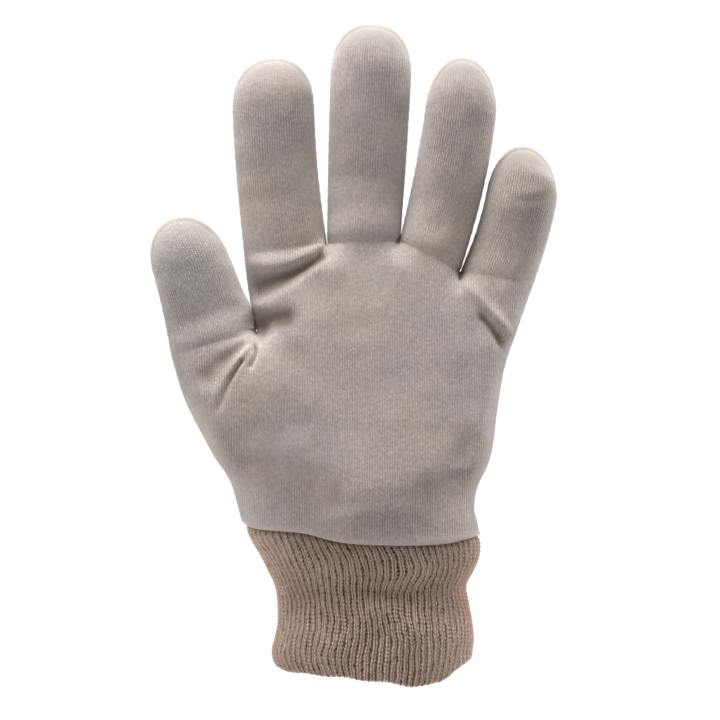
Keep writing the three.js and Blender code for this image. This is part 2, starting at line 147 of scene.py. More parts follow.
def wristPoint(turn, height, outward):
    # an oval of four quarters: its half axes come from the sections, plus the distance outward
    share = height / wrist["length"]
    left, right = wristSections(share, 1), wristSections(share, 2)
    middle = wrist["width"] * (left + right) / 2
    halfWidth = wrist["width"] * (right - left) / 2 + outward
    angle = np.pi * turn
    quarter = np.where(np.sin(angle) > 0, wristSections(share, 3), wristSections(share, 4))
    halfDepth = wrist["depth"] * quarter + outward
    return middle - halfWidth * np.cos(angle), -halfDepth * np.sin(angle)


# hand

hand = {
    "width": 96.0, "length": 110.0, "depth": 32.0, "wall": 1.2, "seamGap": 0.03,
    "web": 11.0, "squareness": 2.4, "crownPower": 1.8, "curlPower": 1.6, "taper": (1.04, 0.88),
    "thumbForward": 10.0, "thumbSlope": (0.3, 0.6),
    "wristBlend": (0.13, 0.42), "thumbBlend": (0.15, 1.0), "footBlend": (0.0, 0.4),
    "hemBlend": (0.0, 0.3),
    "columns": 64, "lowerRows": 110, "upperRows": 44, "fingerRows": 100, "thumbRows": 70,
    "rowSpread": 1.15, "foldFade": 1.5,
    # edge seam: how far it draws in, how wide and how sharply, and its small gathers
    "seamPull": 0.16, "seamWidth": 2.2, "seamSharp": 4.0, "puckerPitch": 4.1, "puckerHeight": 0.07,
    # seam inside the outline of a tip: its distance, width and depth, and where it begins
    "tipSeam": 1.35, "tipSeamWidth": 0.5, "tipSeamDepth": 0.34, "tipSeamStart": (0.25, 0.6),
    # smooth cloth over a tip, which the material also darkens with painted shade: from the middle outwards,
    # and from the straight part upwards
    "crownOut": (0.35, 0.9), "crownUp": (0.05, 0.75),
    # lower edge: height and softness of its band, its bead, the reach and depth of its rounding
    "hemBand": 0.85, "hemSoft": 1.02, "hemBead": 0.05, "hemRound": 1.5, "hemDepth": 0.8,
    # slit beside the thumb: its low and high end, the shift there, how it fades along and across
    "slit": ((-43.7, 132.8), (-45.9, 142.5)), "slitShift": (0.55, 1.0), "slitEnds": (1.2, 6.0),
    "slitReach": (1.5, 7.0),
}
# the six lines that bound the strips of the hand: x and height at each rise
lineRises = [0.25, 0.5, 0.75, 1.0, 1.5, 2.0]
lineRows = [
    [(-0.562, 0.177), (-0.651, 0.318), (-0.738, 0.473), (-0.790, 0.623)],
    [(-0.352, 0.173), (-0.388, 0.350), (-0.420, 0.527), (-0.455, 0.700), (-0.488, 0.836), (-0.506, 0.964)],
    [(-0.132, 0.155), (-0.140, 0.333), (-0.150, 0.512), (-0.161, 0.691), (-0.170, 0.850), (-0.177, 1.003)],
    [(0.073, 0.147), (0.083, 0.323), (0.092, 0.497), (0.099, 0.673), (0.105, 0.845), (0.110, 1.014)],
    [(0.260, 0.141), (0.286, 0.300), (0.307, 0.459), (0.323, 0.618), (0.336, 0.764), (0.348, 0.909)],
    [(0.420, 0.145), (0.471, 0.282), (0.494, 0.423), (0.520, 0.564), (0.574, 0.709), (0.638, 0.865)],
]
# rise, then the half depth at the middle of the strips of thumb, index, middle, ring and little
frontDepths = smoothTable([
    [0.00, 0.66, 0.80, 0.82, 0.80, 0.66],
    [0.30, 0.68, 0.81, 0.82, 0.79, 0.64],
    [0.60, 0.66, 0.74, 0.71, 0.69, 0.60],
    [1.00, 0.50, 0.62, 0.59, 0.57, 0.52],
    [1.50, 0.44, 0.52, 0.51, 0.50, 0.45],
    [2.00, 0.40, 0.43, 0.43, 0.41, 0.38],
])
backDepths = smoothTable([
    [0.00, 0.60, 0.76, 0.80, 0.76, 0.60],
    [0.30, 0.48, 0.63, 0.66, 0.62, 0.52],
    [0.60, 0.40, 0.53, 0.55, 0.53, 0.47],
    [1.00, 0.38, 0.49, 0.51, 0.49, 0.45],
    [1.50, 0.38, 0.46, 0.48, 0.46, 0.42],
    [2.00, 0.38, 0.38, 0.38, 0.36, 0.34],
])
# thumb, index, middle, ring and little finger
digitLabels = ("length", "width", "lean", "thickness", "tip", "shoulder", "bow", "curl", "rise", "roundness")
digitRows = [
    (49.3, 33.6, -17.4, 0.73, 0.58, 0.87, 0.022, 0.14, 1, 2.1),
    (72.4, 31.0, -3.9, 0.74, 0.60, 1.00, -0.016, 0.10, 2, 2.25),
    (82.5, 29.0, 2.5, 0.76, 0.72, 1.06, 0.000, 0.09, 2, 2.4),
    (76.2, 27.4, 10.3, 0.80, 0.78, 0.99, 0.026, 0.10, 2, 2.0),
    (51.0, 27.2, 12.9, 0.78, 0.74, 0.99, 0.044, 0.11, 2, 2.0),
]
digits = [dict(zip(digitLabels, row)) for row in digitRows]
# folds, in millimetres: start x z, a place on the way x z, end x z, then the width at the start
# and at the end, and the height there (below 0 sinks)
palmFolds = [
    # rolled ridge over the foot of the index finger, and the deep crease below it
    [-43.5, 159, -31.5, 158.6, -18.8, 165, 3.2, 2, 0.8, 1.3],
    [-42.5, 148.4, -31, 153.4, -18.4, 161.2, 4.8, 1.7, -1.8, -1.8],
    # second, lower ridge and the dark pocket below it
    [-45.2, 141.4, -33, 148, -21, 156.2, 2.4, 2.6, 0.4, 0.2],
    [-42.5, 134.8, -37.5, 136.4, -32.2, 137.6, 4.6, 3.8, -2, -1.8],
    # low swelling below the pocket
    [-40, 113.5, -31, 112.5, -24, 110, 9, 9, 0.9, 0.4],
    # root of the thumb: ridge, hollow, narrow ridge, sharp crease and a short upright one
    [-44, 132.2, -49, 128.6, -55.5, 125.4, 2, 2.4, 0.8, 0.5],
    [-48, 128, -54, 123.2, -61, 116, 1.6, 3.8, -1.2, -0.8],
    [-46.2, 126.2, -52, 118.5, -57.5, 110, 1, 1.5, 0.8, 0.3],
    [-48.6, 121.4, -53.2, 113.6, -57, 104, 0.8, 1.3, -1.6, -0.6],
    [-43.6, 127.6, -43.4, 124, -45, 119.6, 0.8, 1, -1.5, -1.1],
    # pinches at the forks of the fingers
    [9.9, 167.3, 8.8, 164.8, 7.4, 162.6, 0.9, 1.3, -1, -0.4],
    [33.4, 155.8, 33.2, 152.5, 32.6, 149, 1, 1.4, -1.2, -0.4],
    [-17.4, 166, -18.2, 163.6, -19.8, 161.6, 1, 1.2, -0.9, -0.5],
    # ridge and valley below the little finger
    [33.8, 150.6, 39.5, 145.5, 51.5, 131.9, 2, 2.4, 0.8, 1.3],
    [41.5, 138, 45.5, 133, 48.8, 128.4, 1.8, 2, -1.3, -1.5],
    # little finger: a narrow dip on a broad bulge across its middle, and a bulge above at the right
    [55, 181.6, 61, 182, 66.8, 183.4, 2, 1.8, -0.3, -0.6],
    [50, 181, 57, 181.6, 65, 182.8, 6, 6, 1, 1],
    [60, 191.5, 63.5, 191, 66, 189.5, 3, 3, 0.5, 0.7],
    # cloth filling the feet of the middle and ring fingers
    [-14, 170, -3, 171, 7, 170, 6, 6, 0.7, 0.7],
    [13, 168, 22, 165, 30, 159, 6, 6, 0.7, 0.7],
    # ball of the thumb: two swellings, and a hollow towards the middle of the palm
    [-48, 108, -38, 107, -27, 102, 13, 14, 0.7, 0.5],
    [-42, 82, -35, 80, -28, 77, 13, 13, 1, 0.5],
    [-34, 86, -26, 79, -16, 72, 8, 8, -0.4, -0.7],
    # shallow hollow between the thumb and the foot of the index finger
    [-64, 131, -58.5, 129.5, -52, 131, 5, 5, -0.4, -0.5],
    # faint drag lines over the palm
    [-20, 150, 5, 147, 28, 149.5, 4.5, 4.5, -0.2, -0.15],
    [-36, 92, -30, 78, -24, 66, 4, 4, -0.4, -0.3],
    [20, 74, 29, 82, 36, 92, 3.5, 3.5, -0.35, -0.4],
    [-10, 64, 6, 67, 22, 64, 3, 3, 0.35, 0.3],
]
backFolds = [
    [-38.4, 157.6, -5.8, 158, 28.8, 152.1, 3.8, 3.4, -0.9, -0.8],
    [-44, 150, -8, 149, 34, 143, 3, 3, 0.5, 0.5],
    [-48, 88.3, -12, 83, 28.8, 83.9, 4.5, 4.2, -0.9, -0.7],
    [-57.6, 116.9, -47, 127, -40.3, 138.9, 3, 3.4, -1.2, -0.8],
    [-52, 110, -44, 118, -36, 124, 3.2, 4, 0.8, 0.4],
    [-17.4, 166, -18, 161, -19, 156.5, 1.1, 1.6, -1.3, -0.3],
    [9.9, 167.3, 9.6, 162, 9, 157, 1.1, 1.6, -1.3, -0.3],
    [33.4, 155.8, 32, 150.5, 30.5, 146, 1.1, 1.6, -1.3, -0.3],
    [-46, 199, -37, 197, -27, 198.5, 2.2, 2.2, -0.6, -0.5],
    [-14, 208, -3, 206, 9, 208.5, 2.2, 2.2, -0.6, -0.5],
    [18, 196, 27, 195, 38, 199, 2.2, 2.2, -0.6, -0.5],
    [-10, 68, 8, 71, 26, 67, 3, 3, 0.4, 0.3],
]
palmWaves = {"seed": 11, "count": 22, "length": (7.0, 26.0), "height": 0.10}
backWaves = {"seed": 29, "count": 22, "length": (8.0, 28.0), "height": 0.2}


def lineTable(line):
    turn = line / 5
    height = hemHeight(turn)
    x, _ = wristPoint(turn, height, wrist["tuckGap"] + hand["wall"])
    foot = [0.0, float(x) / hand["width"], (float(height) - wrist["length"]) / hand["length"]]
    return smoothTable([foot] + [[rise, *at] for rise, at in zip(lineRises, lineRows[line])])


lineTables = [lineTable(line) for line in range(6)]


def linePoint(line, rise):
    x = hand["width"] * lineTables[line](rise, 1)
    return x, wrist["length"] + hand["length"] * lineTables[line](rise, 2)


def closing(line, rise):
    # 1 on the outer edges; on a line between fingers the square of its share of the web's length
    if line in (0, 5):
        return np.ones_like(rise)
    fork = 1 if line == 1 else 2
    x, z = linePoint(line, rise)
    forkX, forkZ = linePoint(line, float(fork))
    openShare = np.maximum(0, 1 - np.hypot(x - forkX, z - forkZ) / hand["web"]) ** 2
    return np.where(rise >= fork, 1.0, openShare)


def swell(across, closedLeft, closedRight, towardsCrown):
    # root of (1 - |across|^squareness where the side is closed) * (1 - crown^crownPower)
    p = hand["squareness"]
    left = closedLeft * np.maximum(0, -across) ** p
    right = closedRight * np.maximum(0, across) ** p
    return np.sqrt(np.maximum(0, 1 - left - right) * (1 - towardsCrown ** hand["crownPower"]))


def forwardAt(strip, across, rise):
    # the middle of the strip in y: the thumb comes forward, most at its outer side
    reach = ease(rise, *hand["thumbBlend"])
    towardsThumb = (1 - across) / 2
    inner, outer = hand["thumbSlope"]
    if strip == 0:
        return -hand["thumbForward"] * reach * lerp(inner, outer, towardsThumb)
    if strip == 1:
        return -hand["thumbForward"] * reach * inner * towardsThumb * (1 - ease(rise, 1, 2))
    return 0 * across * reach


def stripDepth(side, strip, across, rise):
    read = frontDepths if side < 0 else backDepths
    own = read(rise, strip + 1)
    left = read(rise, max(strip - 1, 0) + 1)
    right = read(rise, min(strip + 1, 4) + 1)
    neighbour = np.where(across < 0, left, right)
    return hand["depth"] * lerp(own, neighbour, 0.5 * across * across)


def arcFromMiddle(wide, deep):
    # length along each row of a grid, counted from its middle column
    steps = np.hypot(np.diff(wide, axis=1), np.diff(deep, axis=1))
    arc = np.concatenate([np.zeros((len(wide), 1)), np.cumsum(steps, axis=1)], axis=1)
    return arc - arc[:, wide.shape[1] // 2, None]


def palmGrid(side, strip, rises, across):
    rise, across = np.broadcast_arrays(rises[:, None], across[None, :])
    fromX, fromZ = linePoint(strip, rise)
    toX, toZ = linePoint(strip + 1, rise)
    share = (across + 1) / 2
    x, z = lerp(fromX, toX, share), lerp(fromZ, toZ, share)
    closedLeft, closedRight = closing(strip, rise), closing(strip + 1, rise)
    full = swell(across, closedLeft, closedRight, 0)
    out = hand["seamGap"] / 2 + stripDepth(side, strip, across, rise) * full
    y = forwardAt(strip, across, rise) + side * out

    turn = (strip + share) / 5
    wrapTurn = turn if side < 0 else 2 - turn
    footZ = lerp(linePoint(strip, 0.0)[1], linePoint(strip + 1, 0.0)[1], share)
    z = z + (hemHeight(wrapTurn) - footZ) * (1 - ease(rise, *hand["hemBlend"]))
    wristX, wristY = wristPoint(wrapTurn, z, wrist["tuckGap"] + hand["wall"])
    wristY = side * np.maximum(np.abs(wristY), hand["seamGap"] / 2)
    wristShare = 1 - ease(rise, *hand["wristBlend"])
    x, y = lerp(x, wristX, wristShare), lerp(y, wristY, wristShare)

    flat = x - x[:, x.shape[1] // 2, None]
    wrapped = np.where(across < 0, closedLeft, closedRight)
    u = x + wrapped * (arcFromMiddle(x, y) - flat)
    aboveHem = z - hemHeight(wrapTurn)
    none = np.zeros_like(x)
    fromSeam = np.abs(y - forwardAt(strip, across, rise))
    return {"x": x, "y": y, "z": z, "u": u, "v": z.copy(), "full": full, "edge": none, "crown": none,
            "hem": bell(np.maximum(0, aboveHem - hand["hemBand"]) / hand["hemSoft"]),
            "hemRound": np.clip(1 - aboveHem / hand["hemRound"], 0, 1),
            "nearSeam": bell(fromSeam / hand["seamWidth"]) * wrapped}


def fingerGrid(side, strip, alongs, across):
    digit = digits[strip]
    along, across = np.broadcast_arrays(alongs[:, None], across[None, :])
    leftX, leftZ = linePoint(strip, float(digit["rise"]))
    rightX, rightZ = linePoint(strip + 1, float(digit["rise"]))
    baseX, baseZ = (leftX + rightX) / 2, (leftZ + rightZ) / 2
    tip = digit["width"] * digit["tip"]
    straight = digit["length"] - tip
    lean = np.radians(digit["lean"])
    power = digit["roundness"]
    crown = np.maximum(0, 1 - np.abs(across) ** power) ** (1 / power)
    reach = along * (straight + tip * crown)
    share = np.minimum(1, reach / straight)
    beyond = np.where(crown > 0, (reach - straight) / np.maximum(tip * crown, 1e-9), 0)
    towardsCrown = np.clip(beyond, 0, 1)

    halfWidth = digit["width"] / 2 * lerp(1, digit["shoulder"], share)
    bow = digit["bow"] * digit["length"] * np.sin(np.pi * np.minimum(1, reach / digit["length"]))
    aside = across * halfWidth + bow
    settle = (1 - share) ** 3
    fromLeft = (across + 1) / 2
    footX, footZ = lerp(leftX, rightX, fromLeft), lerp(leftZ, rightZ, fromLeft)
    plainX = baseX + across * digit["width"] / 2 * np.cos(lean)
    plainZ = baseZ - across * digit["width"] / 2 * np.sin(lean)
    x = baseX + reach * np.sin(lean) + aside * np.cos(lean) + settle * (footX - plainX)
    z = baseZ + reach * np.cos(lean) - aside * np.sin(lean) + settle * (footZ - plainZ)

    full = swell(across, 1.0, 1.0, towardsCrown)
    rise = np.full_like(across, float(digit["rise"]))
    footDepth = stripDepth(side, strip, across, rise)
    ownDepth = digit["width"] * digit["thickness"] / 2 * lerp(*hand["taper"], share)
    depth = lerp(footDepth, ownDepth, ease(share, *hand["footBlend"]))
    bend = 1 - np.maximum(0, 1 - reach / digit["length"]) ** hand["curlPower"]
    middle = forwardAt(strip, across, rise) - digit["curl"] * digit["length"] * bend
    out = hand["seamGap"] / 2 + depth * full
    y = middle + side * out

    arc = arcFromMiddle(across * halfWidth, side * out)
    # distance to the outline round the tip, for the seam that shows there
    tipShare = np.clip((reach - straight) / tip, 0, 1)
    rho = (np.abs(across) ** power + tipShare ** power) ** (1 / power)
    fromEdge = (1 - rho) * tip
    edge = bell((fromEdge - hand["tipSeam"]) / hand["tipSeamWidth"])
    edge = edge * ease(tipShare, *hand["tipSeamStart"])
    return {"x": x, "y": y, "z": z, "u": baseX + arc, "v": footZ + reach, "full": full,
            "hem": np.zeros_like(x), "hemRound": np.zeros_like(x), "edge": edge,
            "crown": ease(rho, *hand["crownOut"]) * ease(tipShare, *hand["crownUp"]),
            "nearSeam": bell((out - hand["seamGap"] / 2) / hand["seamWidth"])}


def evenRows(count, side, strip):
    # rows at even steps along the middle of a finger, over its crown as well
    fine = np.linspace(0, 1, fineSteps)
    line = fingerGrid(side, strip, fine, np.array([-0.01, 0.0, 0.01]))
    steps = np.hypot(np.diff(line["y"][:, 1]), np.diff(line["v"][:, 1]))
    length = np.concatenate([[0], np.cumsum(steps)])
    return np.interp(np.linspace(0, length[-1], count + 1), length, fine)


def foldHeight(folds, x, z):
    # each fold is a bell across a curve with one bend; width and height change evenly along it
    total = np.zeros_like(x)
    t = np.linspace(0, 1, curveSteps)
    for row in folds:
        start, via, end = np.array(row[0:2]), np.array(row[2:4]), np.array(row[4:6])
        knee = 2 * via - (start + end) / 2
        curve = np.outer((1 - t) ** 2, start) + np.outer(2 * t * (1 - t), knee) + np.outer(t ** 2, end)
        reach = bellReach * max(row[6:8])
        low, high = curve.min(axis=0) - reach, curve.max(axis=0) + reach
        near = np.nonzero((x > low[0]) & (x < high[0]) & (z > low[1]) & (z < high[1]))[0]
        if not len(near):
            continue
        apart = np.hypot(x[near, None] - curve[:, 0], z[near, None] - curve[:, 1])
        along = t[apart.argmin(axis=1)]
        width = lerp(row[6], row[7], along)
        total[near] += lerp(row[8], row[9], along) * bell(apart.min(axis=1) / width)
    return total


def unit(vectors):
    return vectors / np.maximum(np.linalg.norm(vectors, axis=1, keepdims=True), 1e-12)


def addAt(total, index, vectors):
    for axis in range(3):
        total[:, axis] += np.bincount(index, vectors[:, axis], len(total))


def vertexNormals(points, quads):
    # each quad adds the cross product of its diagonals to its four corners
    a, b, c, d = (points[quads[:, k]] for k in range(4))
    faceNormals = np.cross(c - a, d - b)
    normals = np.zeros_like(points)
    for k in range(4):
        addAt(normals, quads[:, k], faceNormals)
    return unit(normals)


def quadsBetween(row, nextRow):
    # one quad between each two neighbours of a row and the two beside them in the next row
    corners = [row[:, :-1], row[:, 1:], nextRow[:, 1:], nextRow[:, :-1]]
    return np.stack(corners, axis=-1).reshape(-1, 4)


def openEdges(quads, count):
    # edges that only one quad has, in that quad's direction
    starts = quads.reshape(-1)
    ends = np.roll(quads, -1, axis=1).reshape(-1)
    lone = ~np.isin(starts * count + ends, ends * count + starts)
    return starts[lone], ends[lone]


def addObject(name, data):
    made = bpy.data.objects.new(name, data)
    bpy.context.scene.collection.objects.link(made)
    return made


def newPiece(name, points, faceGroups, cloth, attributes, material):
    mesh = bpy.data.meshes.new(name)
    faces = [face for group, _ in faceGroups for face in group.tolist()]
    mesh.from_pydata((points * mm).tolist(), [], faces)
    mesh.uv_layers.new(name="cloth")
    corners = np.concatenate([cloth[raw].reshape(-1, 2) for _, raw in faceGroups])
    mesh.uv_layers["cloth"].data.foreach_set("uv", corners.reshape(-1))
    for label, values in attributes.items():
        mesh.attributes.new(label, "FLOAT", "POINT").data.foreach_set("value", values)
    mesh.polygons.foreach_set("use_smooth", np.ones(len(faces), dtype=bool))
    mesh.materials.append(material)
    mesh.validate()
    mesh.update()
    piece = addObject(name, mesh)
    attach(piece, "root")
    print(name, "vertices", len(points), "faces", len(faces))
    return piece


def slitClosing(points):
    # the side of the thumb lies against the foot of the index finger: sideways shift to the line
    # between the two, growing with height, full next to the line and fading away from it
    x, z = points[:, 0], points[:, 2]
    (lowX, lowZ), (highX, highZ) = hand["slit"]
    share = (z - lowZ) / (highZ - lowZ)
    away = lerp(lowX, highX, share) - x
    atLow, atHigh = hand["slitEnds"]
    shift = lerp(*hand["slitShift"], share) * ease(z, lowZ, lowZ + atLow)
    shift = shift * (1 - ease(z, highZ, highZ + atHigh))
    return shift * (away > 0) * (1 - ease(away, *hand["slitReach"]))


def handPanel(side, folds, waves, name, material):
    across = -np.cos(np.pi * np.arange(hand["columns"] + 1) / hand["columns"])
    lower = 1 - (1 - np.linspace(0, 1, hand["lowerRows"] + 1)) ** hand["rowSpread"]
    upper = 1 + np.linspace(0, 1, hand["upperRows"] + 1)
    grids = []
    for strip, digit in enumerate(digits):
        grids.append(palmGrid(side, strip, lower, across))
        if digit["rise"] == 2:
            grids.append(palmGrid(side, strip, upper, across))
        count = hand["thumbRows"] if strip == 0 else hand["fingerRows"]
        grids.append(fingerGrid(side, strip, evenRows(count, -1, strip), across))

    raw = {key: np.concatenate([grid[key].reshape(-1) for grid in grids]) for key in grids[0]}
    points = np.stack([raw["x"], raw["y"], raw["z"]], axis=1)
    keys = np.round(points * 100000).astype(np.int64)
    _, first, merged = np.unique(keys, axis=0, return_index=True, return_inverse=True)
    merged = merged.reshape(-1)
    fine, coarse, start = [], [], 0
    for grid in grids:
        index = start + np.arange(grid["x"].size).reshape(grid["x"].shape)
        start += grid["x"].size
        for step, found in ((1, fine), (2, coarse)):
            some = index[::step, ::step]
            found.append(quadsBetween(some[:-1], some[1:]))
    fineRaw, coarseRaw = np.concatenate(fine), np.concatenate(coarse)
    if side > 0:
        fineRaw, coarseRaw = fineRaw[:, ::-1], coarseRaw[:, ::-1]
    points = points[first]
    at = {key: values[first] for key, values in raw.items()}
    outer, innerFine = merged[fineRaw], merged[coarseRaw]
    normals = vertexNormals(points, outer)

    # relief of the cloth along its normals: folds, soft unevenness, seams, and the rolled hem
    x, z = points[:, 0], points[:, 2]
    inside = np.minimum(1, hand["foldFade"] * at["full"])
    pucker = np.sin(2 * np.pi * at["v"] / hand["puckerPitch"]) * at["nearSeam"]
    relief = (foldHeight(folds, x, z) + rolling(x, z, waves)) * inside * (1 - at["hem"])
    relief += hand["puckerHeight"] * pucker * (1 - at["hem"]) + hand["hemBead"] * at["hem"]
    drawnIn = bell((1 - at["nearSeam"]) * hand["seamSharp"]) * at["nearSeam"]
    relief -= hand["tipSeamDepth"] * at["edge"] + hand["seamPull"] * drawnIn
    relief -= hand["hemDepth"] * dip(at["hemRound"])
    moved = points + normals * relief[:, None]
    moved[:, 1] = np.where(at["nearSeam"] > 0.98, points[:, 1], moved[:, 1])

    # the inner wall has every second vertex, moved in by the wall
    used = np.unique(innerFine)
    number = np.full(len(points), -1)
    number[used] = len(points) + np.arange(len(used))
    inward = -normals[used]
    starts, ends = openEdges(innerFine, len(points))
    along = points[ends] - points[starts]
    square = side * np.stack([along[:, 2], np.zeros(len(along)), -along[:, 0]], axis=1)
    rimward = np.zeros_like(points)
    for edge in (starts, ends):
        addAt(rimward, edge, square)
    onSeam = (np.abs(rimward).sum(axis=1) > 0) & (at["hem"] < 0.9)
    onHem = np.zeros(len(points), dtype=bool)
    onHem[starts] = True
    onHem &= at["hem"] >= 0.9
    inward = np.where(onSeam[used, None], unit(rimward)[used], inward)
    inward = np.where(onHem[used, None], unit(inward * [1, 1, 0]), inward)
    moved[:, 0] += slitClosing(moved)
    inner = moved[used] + inward * hand["wall"]

    nextOpen = np.full(len(points), -1)
    fineStarts, fineEnds = openEdges(outer, len(points))
    nextOpen[fineStarts] = fineEnds
    middle = nextOpen[starts]
    assert (nextOpen[middle] == ends).all(), "the rim of a panel isn't one even line"
    rim = np.concatenate([
        np.stack([middle, starts, number[starts]], axis=1),
        np.stack([middle, number[starts], number[ends]], axis=1),
        np.stack([ends, middle, number[ends]], axis=1)])
    innerFaces = number[innerFine[:, ::-1]]

    allPoints = np.concatenate([moved, inner])
    cloth = np.stack([raw["u"], raw["v"]], axis=1)
    cornerCloth = np.concatenate([cloth, cloth[first], cloth[first][used]])
    shift = len(cloth)
    attributes = {}
    for label in ("hem", "edge", "crown", "nearSeam"):
        attributes[label] = np.concatenate([at[label], at[label][used]])
    # how deep the cloth sinks, for the shade that the material paints into the creases
    attributes["sunk"] = np.concatenate([np.clip(-relief, 0, 3), np.zeros(len(used))])
    groups = [(outer, fineRaw), (innerFaces, shift + innerFaces), (rim, shift + rim)]
    return newPiece(name, allPoints, groups, cornerCloth, attributes, material)


# cuff

cuff = {
    "ribs": 78, "columnsPerRib": 8, "rows": 130, "innerRows": 5, "course": 1.45, "seed": 5,
    # a rib: depth of the groove beside it, its share of the width, how square it is, its spread
    "ribDepth": 1.0, "ribShare": 0.74, "ribSquare": 2.2, "ribSizes": (0.8, 1.1),
    # its loops, the groove's purl loops, how far the sides of a loop lag, and the holes between
    "loopHeight": 0.34, "purlHeight": 0.80, "purlWidth": 0.2, "lag": 0.35,
    "holeDepth": 0.45, "holePlace": 0.78, "holeWidth": 0.16,
    # sideways, in ribs: long drift, each rib's own weave and its wave length, zigzag by course
    "drift": 0.1, "driftWaves": 7, "driftLength": (28, 80),
    "weave": 0.07, "weaveLength": (6, 13), "zigzag": 0.06,
    # lower rim: rounding, its depth, and how far ribs and waves move it up and down; then the reach of the
    # painted shadow below the hem
    "rimRound": 1.5, "rimDepth": 1.1, "rimRibs": 0.28, "rimWaves": 0.25, "hemShade": 1.6,
}
# bends of the ribs: place in turns, height as a share, wide, tall, sideways in ribs
cuffBends = [
    [0.60, 0.74, 0.12, 0.15, 0.35],
    [0.60, 0.48, 0.12, 0.16, -0.30],
]
# waves round the cuff: count, height of one wave in mm, start, rise in mm
cuffWaves = [
    [5, 31, 0.0, 0.25],
    [9, -22, 0.3, 0.2],
]
# dents and bulges: place in turns, height as a share, wide, tall, raised in mm
cuffFolds = [
    [0.55, 0.62, 0.10, 0.070, -1.25],
    [0.62, 0.79, 0.10, 0.055, 1.1],
    [0.42, 0.70, 0.08, 0.070, -0.5],
    [0.20, 0.55, 0.12, 0.090, -1.0],
    [0.33, 0.30, 0.10, 0.100, 0.5],
    [0.76, 0.33, 0.10, 0.110, 0.5],
    [1.45, 0.58, 0.25, 0.080, -1.2],
    [1.62, 0.80, 0.14, 0.060, 0.8],
]


def evenTurns(shares):
    # turns at even steps round the wrist's oval, so that all ribs are equally wide
    turns = np.linspace(0, 2, turnSteps)
    x = wrist["width"] / 2 * np.cos(np.pi * turns)
    y = wrist["depth"] / 2 * np.sin(np.pi * turns)
    length = np.concatenate([[0], np.cumsum(np.hypot(np.diff(x), np.diff(y)))])
    return np.interp(np.mod(shares, 1) * length[-1], length, turns)


def ribDrift(share, height):
    # sideways drift of the ribs, in ribs: long waves that close round the wrist
    rng = np.random.default_rng(cuff["seed"])
    total = np.zeros(np.broadcast(share, height).shape)
    for _ in range(cuff["driftWaves"]):
        around = rng.integers(1, 8)
        length = rng.uniform(*cuff["driftLength"])
        phase = rng.uniform(0, 2 * np.pi)
        total = total + np.sin(2 * np.pi * (around * share + height / length) + phase)
    return cuff["drift"] * total


def tuckedShare(turn, height):
    # 0 below the hem, 1 well inside the hand
    hem = hemHeight(turn)
    return ease(height, hem - wrist["tuck"] / 4, hem + wrist["tuck"] / 3)


